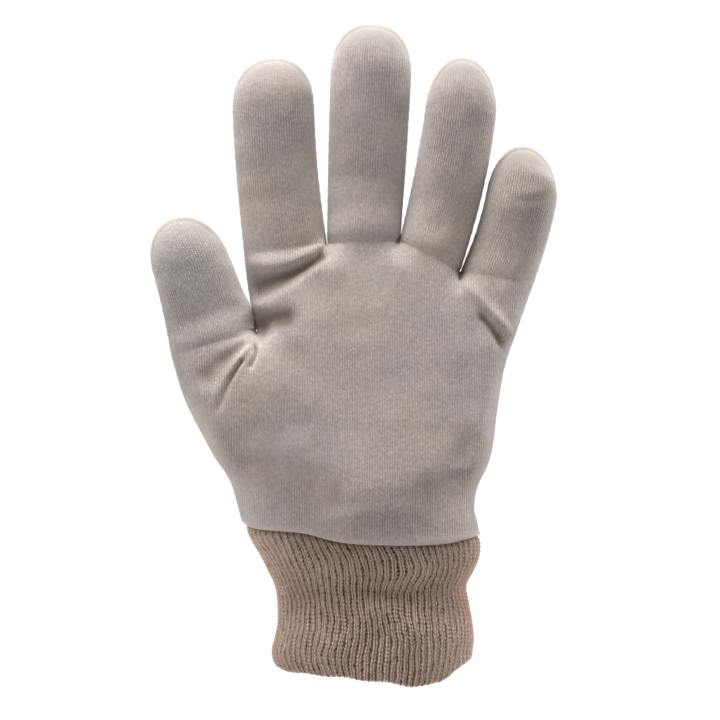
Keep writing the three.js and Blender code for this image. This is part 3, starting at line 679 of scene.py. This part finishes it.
def cuffPiece(name, material):
    columns = cuff["ribs"] * cuff["columnsPerRib"]
    rng = np.random.default_rng(cuff["seed"])
    column = np.arange(columns)
    share = column / columns
    turn0 = evenTurns(share)
    low, high = rimHeight(turn0), hemHeight(turn0) + wrist["tuck"]
    height = lerp(low, high, np.linspace(0, 1, cuff["rows"] + 1)[:, None])
    level = height / wrist["length"]
    rib = column // cuff["columnsPerRib"]
    phase = (column % cuff["columnsPerRib"]) / cuff["columnsPerRib"]   # 0 and 1 in the groove
    ribSize = rng.uniform(*cuff["ribSizes"], cuff["ribs"])[rib]
    courseShift = rng.uniform(0, 1, cuff["ribs"])[rib]
    weaveLength = rng.uniform(*cuff["weaveLength"], cuff["ribs"])[rib]
    weavePhase = rng.uniform(0, 2 * np.pi, cuff["ribs"])[rib]
    sideways = ribDrift(share[None, :], height)
    for place, up, wide, tall, moved in cuffBends:
        sideways = sideways + moved * bell((turn0 - place) / wide) * bell((level - up) / tall)
    sideways = sideways + cuff["weave"] * np.sin(2 * np.pi * height / weaveLength + weavePhase)
    turn = evenTurns(share[None, :] + sideways / cuff["ribs"])

    # a rib is a cord of stacked loops; the groove beside it holds a thin column of purl loops
    zigzag = cuff["zigzag"] * wave((height / cuff["course"] + courseShift) / 2)
    side = np.abs(2 * phase - 1 + zigzag)
    cord = np.sqrt(np.maximum(0, 1 - (side / cuff["ribShare"]) ** cuff["ribSquare"]))
    stitch = height / cuff["course"] + courseShift - cuff["lag"] * side
    stitchRandom = rng.uniform(0, 1, (cuff["ribs"], 64))[rib[None, :], np.floor(stitch).astype(int) % 64]
    loops = 0.5 + 0.5 * np.cos(2 * np.pi * stitch)
    purlLoops = 0.5 - 0.5 * np.cos(2 * np.pi * (stitch + cuff["lag"]))
    purl = bell((side - 1) / cuff["purlWidth"]) * purlLoops
    hole = bell((side - cuff["holePlace"]) / cuff["holeWidth"]) * (1 - loops) * (0.3 + 0.9 * stitchRandom)
    firmness = 0.85 + 0.15 * np.sin(2 * np.pi * (3 * share + 0.3) + height / 14)
    outward = -cuff["ribDepth"] * ribSize * firmness * (1 - cord)
    outward = outward + cuff["loopHeight"] * (loops - 0.6) * cord * (0.5 + stitchRandom)
    outward = outward + cuff["purlHeight"] * purl * stitchRandom - cuff["holeDepth"] * hole
    for place, up, wide, tall, raised in cuffFolds:
        outward = outward + raised * bell((turn - place) / wide) * bell((level - up) / tall)
    for count, length, start, raised in cuffWaves:
        outward = outward + raised * wave(count * share + height / length + start)

    # the rim is rounded and a little uneven; the top is drawn in where it is tucked
    aboveRim = height - rimHeight(turn)
    outward = outward - cuff["rimDepth"] * dip(np.clip(1 - aboveRim / cuff["rimRound"], 0, 1))
    outward = outward - wrist["tuckGap"] * tuckedShare(turn, height)
    height = height + cuff["rimRibs"] * (cord - 0.5) * bell(aboveRim / 2.0)
    height = height + cuff["rimWaves"] * np.sin(2 * np.pi * 11 * share + 1.0) * bell(aboveRim / 3.0)
    x, y = wristPoint(turn, height, outward)

    innerRow = np.linspace(1, 0, cuff["innerRows"] + 1)[:, None]
    innerHeight = lerp(low, high, innerRow) + 0.3 * bell(4 * innerRow)
    inward = wrist["wall"] + wrist["tuckGap"] * tuckedShare(turn0, innerHeight)
    innerX, innerY = wristPoint(turn0, innerHeight, -inward)

    points = np.stack([np.concatenate([x, innerX]), np.concatenate([y, innerY]),
                       np.concatenate([height, innerHeight])], axis=-1)
    rows = len(points)
    index = np.arange(rows * columns).reshape(rows, columns)
    closed = np.concatenate([index, index[:, :1]], axis=1)
    quads = quadsBetween(closed, np.roll(closed, -1, axis=0))
    # cloth coordinates: whole ribs across, millimetres up; the last column is written out again
    rawIndex = np.arange(rows * (columns + 1)).reshape(rows, columns + 1)
    rawQuads = quadsBetween(rawIndex, np.roll(rawIndex, -1, axis=0))
    acrossRibs = np.arange(columns + 1) / cuff["columnsPerRib"]
    up = np.concatenate([points[:, :, 2], points[:, :1, 2]], axis=1)
    cloth = np.stack([np.broadcast_to(acrossRibs, up.shape), up], axis=-1).reshape(-1, 2)
    # under is the painted shadow that the hand's hem casts on the cuff just below it
    attributes = {"groove": np.clip(1 - cord - 0.5 * purl, 0, 1), "gapShade": np.clip(hole, 0, 1),
                  "hemShadow": bell((hemHeight(turn) - height) / cuff["hemShade"])}
    for label, values in attributes.items():
        attributes[label] = np.concatenate([values, 0 * innerHeight]).reshape(-1)
    return newPiece(name, points.reshape(-1, 3), [(quads, rawQuads)], cloth, attributes, material)


# materials

def newNode(tree, kind, **settings):
    node = tree.nodes.new("ShaderNode" + kind)
    for label, value in settings.items():
        setattr(node, label, value)
    return node


def plug(tree, value, socket):
    if isinstance(value, bpy.types.NodeSocket):
        tree.links.new(value, socket)
    else:
        socket.default_value = value


def plugAll(tree, values, sockets):
    for value, socket in zip(values, sockets):
        plug(tree, value, socket)


def calc(tree, operation, *values, clamp=False):
    node = newNode(tree, "Math", operation=operation, use_clamp=clamp)
    plugAll(tree, values, node.inputs)
    return node.outputs[0]


def times(tree, first, second):
    return calc(tree, "MULTIPLY", first, second)


def oneMinus(tree, value):
    return calc(tree, "SUBTRACT", 1.0, value)


def blendColor(tree, factor, first, second, mode="MIX"):
    node = newNode(tree, "Mix", data_type="RGBA", blend_type=mode)
    plugAll(tree, (factor, first, second), (node.inputs[0], node.inputs[6], node.inputs[7]))
    return node.outputs[2]


def overlay(tree, color, mask, tone):
    # a tone is a colour and the greatest share with which it covers the one below
    return blendColor(tree, times(tree, mask, tone[1]), color, tone[0])


def remap(tree, value, low, high, newLow, newHigh):
    node = newNode(tree, "MapRange")
    plugAll(tree, (value, low, high, newLow, newHigh), node.inputs)
    return node.outputs[0]


def noise(tree, vector, scale, detail=2.0, roughness=0.5):
    node = newNode(tree, "TexNoise")
    labels = ("Vector", "Scale", "Detail", "Roughness")
    plugAll(tree, (vector, scale, detail, roughness), [node.inputs[label] for label in labels])
    return node.outputs["Fac"]


def patches(tree, place, row):
    # noise: its scale, detail and roughness, then its range and what that becomes
    return remap(tree, noise(tree, place, *row[:3]), *row[3:])


def newGroup(name, inputs, outputs):
    # a node group; the first input is a vector, every other socket a number
    tree = bpy.data.node_groups.new(name, "ShaderNodeTree")
    for way, labels in (("INPUT", inputs), ("OUTPUT", outputs)):
        for count, label in enumerate(labels):
            kind = "NodeSocketVector" if way == "INPUT" and count == 0 else "NodeSocketFloat"
            tree.interface.new_socket(name=label, in_out=way, socket_type=kind)
    given, result = tree.nodes.new("NodeGroupInput"), tree.nodes.new("NodeGroupOutput")
    return tree, given.outputs, result.inputs


def centred(tree, value):
    # distance from the middle of each whole step: 0 there, 1 at its ends
    offset = calc(tree, "SUBTRACT", calc(tree, "FRACT", value), 0.5)
    return times(tree, calc(tree, "ABSOLUTE", offset), 2.0)


def knitLoopsGroup():
    # columns of stitches (wales) of leaning loops: a round ridge over each wale, a loop over each
    # course whose two legs rise to a V, a random tone per stitch, and gaps between wales
    tree, given, result = newGroup(
        "knit loops", ("Cloth", "Wale", "Course", "Lean", "Wander"), ("Height", "Gap", "Tone"))
    split = newNode(tree, "SeparateXYZ")
    plug(tree, given["Cloth"], split.inputs[0])
    drift = calc(tree, "SUBTRACT", noise(tree, given["Cloth"], 0.16, 3.0), 0.5)
    across = calc(tree, "MULTIPLY_ADD", drift, given["Wander"], split.outputs[0])
    across = calc(tree, "DIVIDE", across, given["Wale"])
    wale, away = calc(tree, "FLOOR", across), centred(tree, across)
    waleRandom = newNode(tree, "TexWhiteNoise", noise_dimensions="1D")
    plug(tree, wale, waleRandom.inputs["W"])
    up = calc(tree, "DIVIDE", split.outputs[1], given["Course"])
    up = calc(tree, "ADD", up, waleRandom.outputs["Value"])
    up = calc(tree, "MULTIPLY_ADD", away, times(tree, given["Lean"], -1.0), up)
    cell = newNode(tree, "CombineXYZ")
    plugAll(tree, (wale, calc(tree, "FLOOR", up)), cell.inputs)
    stitchRandom = newNode(tree, "TexWhiteNoise", noise_dimensions="2D")
    plug(tree, cell.outputs[0], stitchRandom.inputs["Vector"])
    tone = stitchRandom.outputs["Value"]
    ridge = oneMinus(tree, calc(tree, "POWER", away, 2.0))
    loop = oneMinus(tree, calc(tree, "POWER", centred(tree, up), 2.0))
    height = times(tree, ridge, remap(tree, loop, 0.0, 1.0, 0.62, 1.0))
    gapShade = times(tree, calc(tree, "POWER", away, 3.0), oneMinus(tree, times(tree, loop, 0.6)))
    plug(tree, times(tree, height, remap(tree, tone, 0.0, 1.0, 0.8, 1.1)), result["Height"])
    plug(tree, times(tree, gapShade, remap(tree, tone, 0.35, 1.0, 0.35, 1.0)), result["Gap"])
    plug(tree, tone, result["Tone"])
    return tree


def cottonFlecksGroup():
    # pale lint and brown seed flecks: small spots round scattered points, kept for some of them
    tree, given, result = newGroup("cotton flecks", ("Place", "Spacing", "Size", "Share"), ("Mask",))
    cells = newNode(tree, "TexVoronoi")
    plug(tree, given["Place"], cells.inputs["Vector"])
    plug(tree, calc(tree, "DIVIDE", 1.0, given["Spacing"]), cells.inputs["Scale"])
    spot = remap(tree, cells.outputs["Distance"], given["Size"], times(tree, given["Size"], 0.4), 0.0, 1.0)
    tint = newNode(tree, "SeparateColor")
    plug(tree, cells.outputs["Color"], tint.inputs[0])
    kept = calc(tree, "LESS_THAN", tint.outputs[0], given["Share"])
    plug(tree, times(tree, spot, kept), result["Mask"])
    return tree


def useGroup(tree, group, **values):
    node = newNode(tree, "Group", node_tree=group)
    for label, value in values.items():
        plug(tree, value, node.inputs[label])
    return node.outputs


def attribute(tree, label):
    return newNode(tree, "Attribute", attribute_name=label).outputs["Fac"]


def newMaterial(name):
    material = bpy.data.materials.new(name)
    material.use_nodes = True
    return material, material.node_tree


def startMaterial(name, look):
    material, tree = newMaterial(name)
    sheen, sheenRoughness = look["sheen"]
    for label, value in (("Sheen Weight", sheen), ("Sheen Roughness", sheenRoughness),
                         ("Sheen Tint", (1.0, 0.97, 0.93, 1.0)), ("Specular IOR Level", 0.15)):
        tree.nodes["Principled BSDF"].inputs[label].default_value = value
    cloth = newNode(tree, "UVMap", uv_map="cloth").outputs[0]
    return material, tree, cloth, newNode(tree, "TexCoord").outputs["Object"]


def finishMaterial(tree, look, color, grain, relief):
    # colour, roughness by the grain, and the relief as a bump
    shader = tree.nodes["Principled BSDF"]
    plug(tree, color, shader.inputs["Base Color"])
    plug(tree, remap(tree, grain, *look["roughness"]), shader.inputs["Roughness"])
    bump = newNode(tree, "Bump")
    bump.inputs["Strength"].default_value, bump.inputs["Distance"].default_value = look["bump"]
    plug(tree, relief, bump.inputs["Height"])
    plug(tree, bump.outputs[0], shader.inputs["Normal"])


knitLoops = knitLoopsGroup()
cottonFlecks = cottonFlecksGroup()

handCotton = {
    "knit": {"Wale": 0.93, "Course": 0.82, "Lean": 0.45, "Wander": 0.9},
    "sheen": (0.60, 0.50), "roughness": (0.86, 1.08, 0.98, 0.86), "bump": (0.9, 0.00042),
    "top": (0.655, 0.575, 0.545, 1), "valley": (0.385, 0.315, 0.285, 1),
    "warm": (0.660, 0.565, 0.470, 1), "cool": (0.590, 0.560, 0.560, 1),
    "knitPatches": (55, 3.0, 0.5, 0.35, 0.65, 0.55, 1.0),
    "warmPatches": (34, 4.0, 0.6, 0.45, 0.75, 0.0, 0.55),
    "coolPatches": (21, 3.0, 0.6, 0.5, 0.75, 0.0, 0.5),
    "grain": (900, 3.0, 0.7, 0.3, 0.7, 0.80, 1.13), "stitches": (0.0, 1.0, 0.93, 1.05),
    # tones: painted shade on the tip, painted light on the side by the edge seam, the hem, the seam in a tip,
    # flecks
    "crown": ((0.430, 0.402, 0.380, 1), 0.75), "side": ((0.740, 0.680, 0.640, 1), 0.55),
    "hem": ((0.560, 0.485, 0.450, 1), 0.7), "seam": ((0.330, 0.270, 0.225, 1), 0.45),
    "lint": ((0.93, 0.90, 0.86, 1), 0.7), "seed": ((0.250, 0.180, 0.120, 1), 0.75),
    "lintSpots": {"Spacing": 0.0042, "Size": 0.085, "Share": 0.22},
    "seedSpots": {"Spacing": 0.0058, "Size": 0.05, "Share": 0.16},
    # painted shade in creases: depth in mm that begins and ends the darkening, and its least and greatest
    # share
    "crease": (0.195, 0.142, 0.106, 1), "creaseDepths": (0.15, 1.5, 0.0, 0.88),
}


def handMaterial():
    look = handCotton
    material, tree, cloth, place = startMaterial("cotton knit", look)
    knit = useGroup(tree, knitLoops, Cloth=cloth, **look["knit"])
    hem, edge, crown, nearSeam = (attribute(tree, label)
                                  for label in ("hem", "edge", "crown", "nearSeam"))
    # the knit shows less on the hem, by the seam and on the tips
    smooth = calc(tree, "MAXIMUM", hem, times(tree, nearSeam, 0.6))
    smooth = calc(tree, "MAXIMUM", smooth, times(tree, crown, 0.75))
    strength = times(tree, patches(tree, place, look["knitPatches"]), oneMinus(tree, smooth))
    # painted shade: the colour darkens between the wales, where the knit is low
    color = blendColor(tree, times(tree, oneMinus(tree, knit["Height"]), strength),
                       look["top"], look["valley"])
    for tone in ("warm", "cool"):
        color = blendColor(tree, patches(tree, place, look[tone + "Patches"]), color, look[tone])
    grain = patches(tree, place, look["grain"])
    shade = times(tree, grain, remap(tree, knit["Tone"], *look["stitches"]))
    color = blendColor(tree, 1.0, color, shade, "MULTIPLY")
    # painted shade darkens the tips, painted light makes the sides by the edge seam paler; the hem and the
    # seam in a tip take darker tones
    for mask, tone in ((crown, "crown"), (times(tree, nearSeam, oneMinus(tree, crown)), "side"),
                       (hem, "hem"), (edge, "seam")):
        color = overlay(tree, color, mask, look[tone])
    # painted shade in the creases, darker where the folds sink deeper
    sunk = remap(tree, attribute(tree, "sunk"), *look["creaseDepths"])
    color = blendColor(tree, sunk, color, look["crease"])
    for tone in ("lint", "seed"):
        spots = useGroup(tree, cottonFlecks, Place=place, **look[tone + "Spots"])["Mask"]
        color = overlay(tree, color, spots, look[tone])
    fuzz = noise(tree, place, 1600, 2.0, 0.6)
    relief = calc(tree, "MULTIPLY_ADD", fuzz, 0.35, times(tree, knit["Height"], strength))
    finishMaterial(tree, look, color, grain, relief)
    return material


cuffCotton = {
    "knit": {"Wale": 0.5, "Course": 1.45, "Lean": 0.5, "Wander": 0.10},
    "sheen": (0.08, 0.5), "roughness": (0.86, 1.1, 0.98, 0.88), "bump": (0.8, 0.00085),
    # the groove and gap colours paint the shade in the recesses of the rib knit
    "top": (0.655, 0.472, 0.380, 1), "groove": (0.170, 0.104, 0.070, 1),
    "gapShade": (0.055, 0.034, 0.023, 1), "warm": (0.520, 0.370, 0.300, 1),
    "uneven": (520, 3.0, 0.6, 0.3, 0.7, 0.5, 1.35), "warmPatches": (45, 3.0, 0.5, 0.45, 0.75, 0.0, 0.45),
    "shadeDots": (420, 2.0, 0.5, 0.3, 0.6, 0.3, 1.2), "grain": (1100, 3.0, 0.7, 0.3, 0.7, 0.86, 1.1),
    "loopLightAndShade": (0.0, 1.0, 0.66, 1.30), "broken": (0.32, 0.72, 0.30, 1.40), "holes": (0.20, 0.60, 0.0, 1.0),
}


def cuffMaterial():
    look = cuffCotton
    material, tree, cloth, place = startMaterial("rib knit", look)
    knit = useGroup(tree, knitLoops, Cloth=cloth, **look["knit"])
    groove, gapShade, hemShadow = (attribute(tree, label) for label in ("groove", "gapShade", "hemShadow"))
    # painted shade: dark, broken grooves between the ribs, with dark holes and dots between the loops
    uneven = patches(tree, place, look["uneven"])
    broken = times(tree, remap(tree, knit["Gap"], *look["broken"]), uneven)
    color = blendColor(tree, calc(tree, "MULTIPLY", groove, broken, clamp=True), look["top"], look["groove"])
    # painted shade in the holes between the loops
    color = blendColor(tree, remap(tree, times(tree, gapShade, uneven), *look["holes"]), color, look["gapShade"])
    warmer = blendColor(tree, 1.0, color, look["warm"], "SCREEN")
    color = blendColor(tree, patches(tree, place, look["warmPatches"]), color, warmer)
    # painted shade: dark dots in the gaps between the loops
    shadeDots = times(tree, knit["Gap"], patches(tree, place, look["shadeDots"]))
    color = blendColor(tree, calc(tree, "MULTIPLY", shadeDots, 1.2, clamp=True), color, look["gapShade"])
    grain = patches(tree, place, look["grain"])
    # painted highlight on the tops of the loops and painted shade between them, times the grain
    shade = times(tree, remap(tree, knit["Height"], *look["loopLightAndShade"]), grain)
    color = blendColor(tree, 1.0, color, shade, "MULTIPLY")
    # painted shadow of the hand's hem on the cuff, in the groove colour
    color = overlay(tree, color, hemShadow, (look["groove"], 0.5))
    fuzz = times(tree, noise(tree, place, 1500, 2.0, 0.6), 0.5)
    finishMaterial(tree, look, color, grain, calc(tree, "MULTIPLY_ADD", knit["Height"], 0.6, fuzz))
    return material


# pieces

cottonKnit, ribKnit = handMaterial(), cuffMaterial()
print("materials ready")
pieces = [
    (handPanel(-1, palmFolds, palmWaves, "palm_cloth", cottonKnit), "palm_panel", "cotton_knit"),
    (handPanel(1, backFolds, backWaves, "back_cloth", cottonKnit), "back_panel", "cotton_knit"),
    (cuffPiece("cuff_ribbing", ribKnit), "knit_cuff", "rib_knit"),
]
for piece, node, slot in pieces:
    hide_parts(node)

# studio

studio = {
    "floorHeight": -0.40, "floorRadius": 0.50, "floorTones": (0.80, 0.84),
    # light of the surroundings by direction: ranges of y and z, and the strength at their ends
    "frontToBack": (-0.85, 0.35, 0.31, 1.25), "lowToHigh": (-0.6, 0.9, 0.62, 0.74),
    "lightColor": (1.0, 0.99, 0.98, 1), "seenWhite": 1.05,
    "lamps": [
        # name, watts, size, place
        ("key", 23.8, 0.4, (-0.13, -0.24, 1.49)),
        ("right rim", 7.0, 0.5, (0.95, 0.22, 0.75)),
        ("left rim", 4.5, 0.5, (-0.95, -0.10, 0.75)),
    ],
    "lampsAimAt": (0, 0, 0.13),
    "camera": (-0.00456, -0.95, 0.12194), "lens": 125.0, "sensor": 36,
}


def paleFloor():
    turns = np.linspace(0, 2 * np.pi, 97)[:-1]
    radius = studio["floorRadius"]
    rim = np.stack([radius * np.cos(turns), radius * np.sin(turns),
                    np.full(len(turns), studio["floorHeight"])], axis=1)
    mesh = bpy.data.meshes.new("pale_floor")
    mesh.from_pydata(rim.tolist(), [], [list(range(len(rim)))])
    material, tree = newMaterial("pale floor")
    place = newNode(tree, "TexCoord").outputs["Object"]
    first, second = ((tone, tone, tone, 1) for tone in studio["floorTones"])
    tone = blendColor(tree, noise(tree, place, 9, 3.0), first, second)
    plug(tree, tone, tree.nodes["Principled BSDF"].inputs["Base Color"])
    tree.nodes["Principled BSDF"].inputs["Roughness"].default_value = 0.9
    mesh.materials.append(material)
    addObject("pale_floor", mesh)


def whiteStudio():
    # white to the camera; as light it is stronger from behind, the sides and above than from the front
    world = bpy.data.worlds.new("white studio")
    bpy.context.scene.world = world
    world.use_nodes = True
    tree = world.node_tree
    tree.nodes.clear()
    direction = newNode(tree, "SeparateXYZ")
    plug(tree, newNode(tree, "TexCoord").outputs["Generated"], direction.inputs[0])
    strength = times(tree, remap(tree, direction.outputs[1], *studio["frontToBack"]),
                     remap(tree, direction.outputs[2], *studio["lowToHigh"]))
    pick = newNode(tree, "MixShader")
    plug(tree, newNode(tree, "LightPath").outputs["Is Camera Ray"], pick.inputs[0])
    for socket, color, power in ((1, studio["lightColor"], strength), (2, (1, 1, 1, 1), studio["seenWhite"])):
        light = newNode(tree, "Background")
        plugAll(tree, (color, power), light.inputs)
        plug(tree, light.outputs[0], pick.inputs[socket])
    plug(tree, pick.outputs[0], newNode(tree, "OutputWorld").inputs["Surface"])

    for name, watts, size, place in studio["lamps"]:
        lamp = bpy.data.lights.new(name, "AREA")
        lamp.energy = watts
        lamp.size = size
        holder = addObject(name, lamp)
        holder.location = place
        towards = Vector(studio["lampsAimAt"]) - holder.location
        holder.rotation_euler = towards.to_track_quat("-Z", "Y").to_euler()


def photoCamera():
    camera = addObject("camera", bpy.data.cameras.new("camera"))
    camera.location = studio["camera"]
    camera.rotation_euler = (np.pi / 2, 0, 0)
    camera.data.lens = studio["lens"]
    camera.data.sensor_width = studio["sensor"]
    camera.data.clip_start = 0.01
    bpy.context.scene.camera = camera


paleFloor()
whiteStudio()
photoCamera()
bpy.context.scene.view_settings.view_transform = "Standard"
bpy.context.scene.view_settings.look = "None"
print("studio ready")
